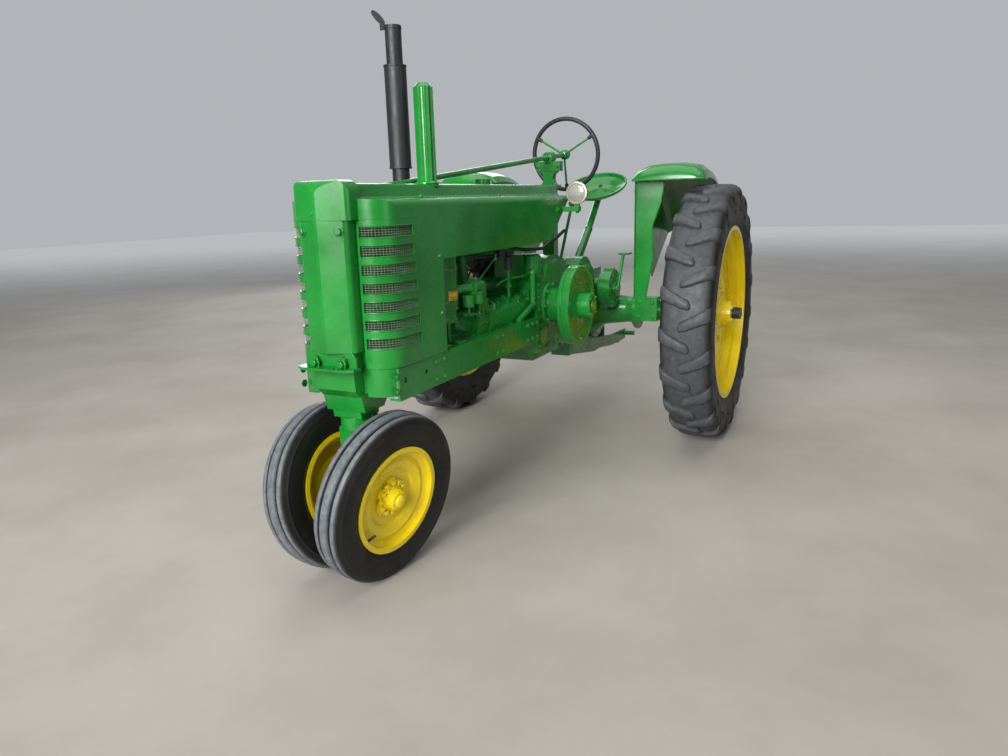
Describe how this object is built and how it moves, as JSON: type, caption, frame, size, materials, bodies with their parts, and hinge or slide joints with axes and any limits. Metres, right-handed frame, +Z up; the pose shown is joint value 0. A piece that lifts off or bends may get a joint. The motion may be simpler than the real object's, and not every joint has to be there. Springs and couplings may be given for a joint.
{
  "type": "vintage row-crop tractor",
  "caption": "Vintage row-crop tractor with a narrow steered front wheel pair, open engine, slotted grille, flywheel, stacks and tall lugged rear wheels.",
  "frame": {"origin": "on the ground under the middle of the whole machine", "axes": "+X forward, +Y to the driver's left, +Z up"},
  "size_m": [3.3762, 2.12, 2.1791],
  "materials": {
    "green": "glossy enamel",
    "screen": "woven wire",
    "black": "satin black",
    "steel": "bare",
    "yellow": "glossy enamel",
    "rubber": "worn rubber"
  },
  "bodies": {
    "root": {"main_case": "green", "engine_block": "green", "cylinder_head": "green", "frame_rails": "green", "front_frame": "green", "pedestal": "green", "front_bracket": "green", "nose_cap": "green", "grille_left": "green", "grille_right": "green", "grille_screens": "screen", "radiator": "green", "water_pipes": "green", "hood": "green", "fuel_tank": "green", "exhaust": "black", "air_stack": "green", "air_cleaner": "green", "carburettor": "green", "governor": "green", "magneto": "black", "steering_stand": "green", "dash": "green", "headlights": "green", "axle_housings": "green", "brakes": "green", "levers": "green", "platform": "green", "seat_post": "green", "seat_pan": "green", "fender_left": "green", "fender_right": "green", "drawbar": "green"},
    "steering": {"front_spindle": "green"},
    "front_wheel_l": {"front_wheel_left": "yellow", "front_tyre_left": "rubber"},
    "front_wheel_r": {"front_wheel_right": "yellow", "front_tyre_right": "rubber"},
    "rear_wheel_l": {"rear_wheel_left": "yellow", "rear_tyre_left": "rubber"},
    "rear_wheel_r": {"rear_wheel_right": "yellow", "rear_tyre_right": "rubber"},
    "flywheel": {"flywheel": "green"},
    "belt_pulley": {"belt_pulley": "green"},
    "fan": {"fan": "green"},
    "steering_wheel": {"steering_wheel": "black"},
    "rain_cap": {"rain_cap": "black"},
    "pto_shaft": {"pto_shaft": "steel"}
  },
  "joints": [
    {"name": "steer", "type": "hinge", "parent": "root", "child": "steering", "pos_m": [1.3359, 0, 0.66], "axis": [0, 0, 1], "range_deg": [-62, 78]},
    {"name": "front_wheel_l_spin", "type": "hinge", "parent": "steering", "child": "front_wheel_l", "pos_m": [1.35441, 0.13171, 0.33339], "axis": [0.1376, 0.9794, -0.1478], "continuous": true},
    {"name": "front_wheel_r_spin", "type": "hinge", "parent": "steering", "child": "front_wheel_r", "pos_m": [1.31739, -0.13171, 0.33339], "axis": [0.1376, 0.9794, 0.1478], "continuous": true},
    {"name": "rear_wheel_l_spin", "type": "hinge", "parent": "root", "child": "rear_wheel_l", "pos_m": [-0.9501, 0.885, 0.738], "axis": [0, 1, 0], "continuous": true},
    {"name": "rear_wheel_r_spin", "type": "hinge", "parent": "root", "child": "rear_wheel_r", "pos_m": [-0.9501, -0.885, 0.738], "axis": [0, 1, 0], "continuous": true},
    {"name": "flywheel_spin", "type": "hinge", "parent": "root", "child": "flywheel", "pos_m": [-0.1151, 0.352, 0.876], "axis": [0, 1, 0], "continuous": true},
    {"name": "belt_pulley_spin", "type": "hinge", "parent": "root", "child": "belt_pulley", "pos_m": [-0.1151, -0.33, 0.876], "axis": [0, 1, 0], "continuous": true},
    {"name": "fan_spin", "type": "hinge", "parent": "root", "child": "fan", "pos_m": [0.9549, 0, 1.165], "axis": [1, 0, 0], "continuous": true},
    {"name": "steering_wheel_turn", "type": "hinge", "parent": "root", "child": "steering_wheel", "pos_m": [-0.8751, 0, 1.68], "axis": [0.9951, 0, -0.0993], "range_deg": [-702, 558]},
    {"name": "rain_cap_lid", "type": "hinge", "parent": "root", "child": "rain_cap", "pos_m": [0.8399, -0.104, 2.118], "axis": [1, 0, 0], "range_deg": [-125, 0]},
    {"name": "pto_spin", "type": "hinge", "parent": "root", "child": "pto_shaft", "pos_m": [-1.2001, 0, 0.7], "axis": [1, 0, 0], "continuous": true}
  ],
  "couplings": [
    {"joint": "steering_wheel_turn", "follows": "steer", "ratio": -9}
  ]
}
